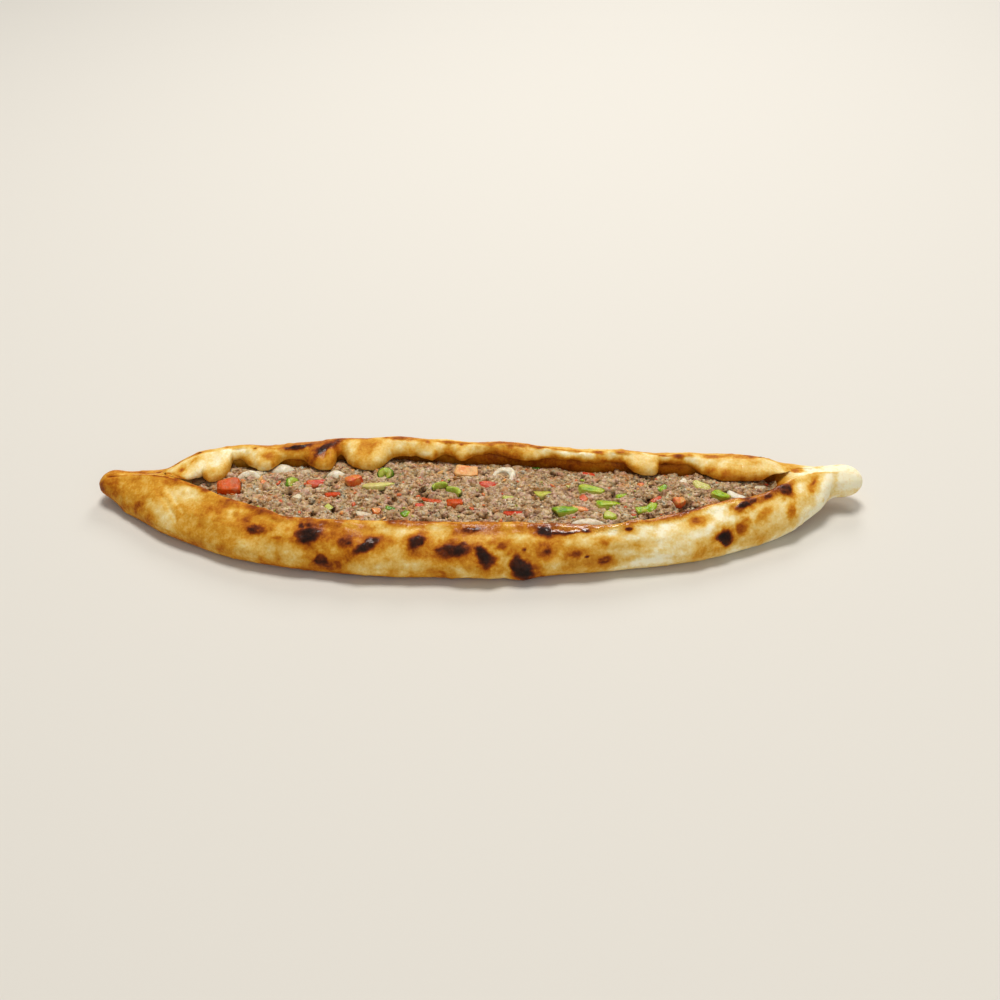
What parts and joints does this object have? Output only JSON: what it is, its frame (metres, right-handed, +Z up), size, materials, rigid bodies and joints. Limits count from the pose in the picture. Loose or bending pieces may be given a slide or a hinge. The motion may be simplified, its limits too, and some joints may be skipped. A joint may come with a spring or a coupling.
{
  "type": "turkish pide",
  "caption": "Boat-shaped baked flatbread with pinched ends, filled with minced meat and chopped tomato, green pepper and onion.",
  "frame": {"origin": "under the middle of the pide's outline, on the surface it lies on", "axes": "+X along the boat's length towards its rounder, raised knob; +Y towards the high lobed rim; +Z up"},
  "size_m": [0.46, 0.121, 0.0269],
  "materials": {
    "baked_crust": "baked dough, golden with charred blisters, oiled rim",
    "minced_meat": "cooked minced meat, moist",
    "tomato_pieces": "cooked tomato, moist",
    "pepper_pieces": "cooked green pepper, moist",
    "onion_pieces": "cooked onion, translucent and moist"
  },
  "bodies": {
    "root": {"crust": "baked_crust", "minced_meat": "minced_meat", "tomato_1": "tomato_pieces", "tomato_2": "tomato_pieces", "tomato_3": "tomato_pieces", "tomato_4": "tomato_pieces", "tomato_5": "tomato_pieces", "tomato_6": "tomato_pieces", "tomato_7": "tomato_pieces", "tomato_8": "tomato_pieces", "tomato_9": "tomato_pieces", "pepper_1": "pepper_pieces", "pepper_2": "pepper_pieces", "pepper_3": "pepper_pieces", "pepper_4": "pepper_pieces", "pepper_5": "pepper_pieces", "pepper_6": "pepper_pieces", "pepper_7": "pepper_pieces", "pepper_8": "pepper_pieces", "pepper_9": "pepper_pieces", "pepper_10": "pepper_pieces", "pepper_11": "pepper_pieces", "pepper_12": "pepper_pieces", "pepper_13": "pepper_pieces", "pepper_14": "pepper_pieces", "onion_1": "onion_pieces", "onion_2": "onion_pieces", "onion_3": "onion_pieces", "onion_4": "onion_pieces", "onion_5": "onion_pieces"}
  },
  "joints": []
}
